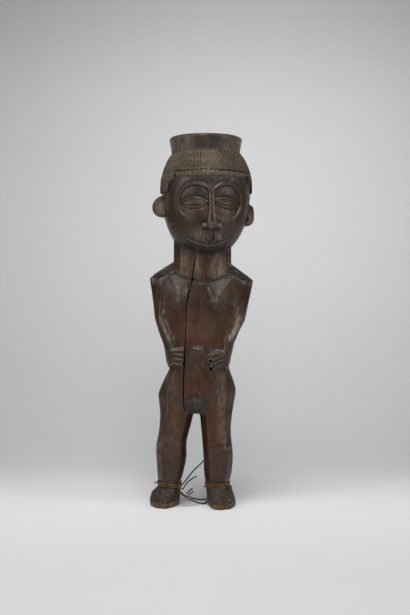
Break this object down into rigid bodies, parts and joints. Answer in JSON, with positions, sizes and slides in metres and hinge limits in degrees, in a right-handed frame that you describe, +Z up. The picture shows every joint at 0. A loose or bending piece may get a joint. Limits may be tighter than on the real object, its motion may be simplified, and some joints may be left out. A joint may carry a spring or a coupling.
{
  "type": "anthropomorphic wooden cup",
  "caption": "Standing human figure carved from one log of dark wood, its hollow head the bowl of a cup under a flaring rim, with plant twine tied round the ankles.",
  "frame": {"origin": "middle of the carved figure's box in plan, at the soles", "axes": "+Z up through the head, the figure faces -Y, its right side is at -X"},
  "size_m": [0.0778, 0.0702, 0.271],
  "materials": {
    "wood": "dark handled patina, satin",
    "twine": "matte plant fibre"
  },
  "bodies": {
    "root": {"carved_cup_figure": "wood", "twine_winding_right_ankle": "twine", "twine_winding_left_ankle": "twine", "twine_knot": "twine", "twine_tail": "twine", "twine_tie": "twine", "twine_strand_rising": "twine", "twine_strand_back": "twine", "twine_strand_front": "twine", "twine_stub_high": "twine", "twine_stub_middle": "twine", "twine_stub_low": "twine"}
  },
  "joints": []
}
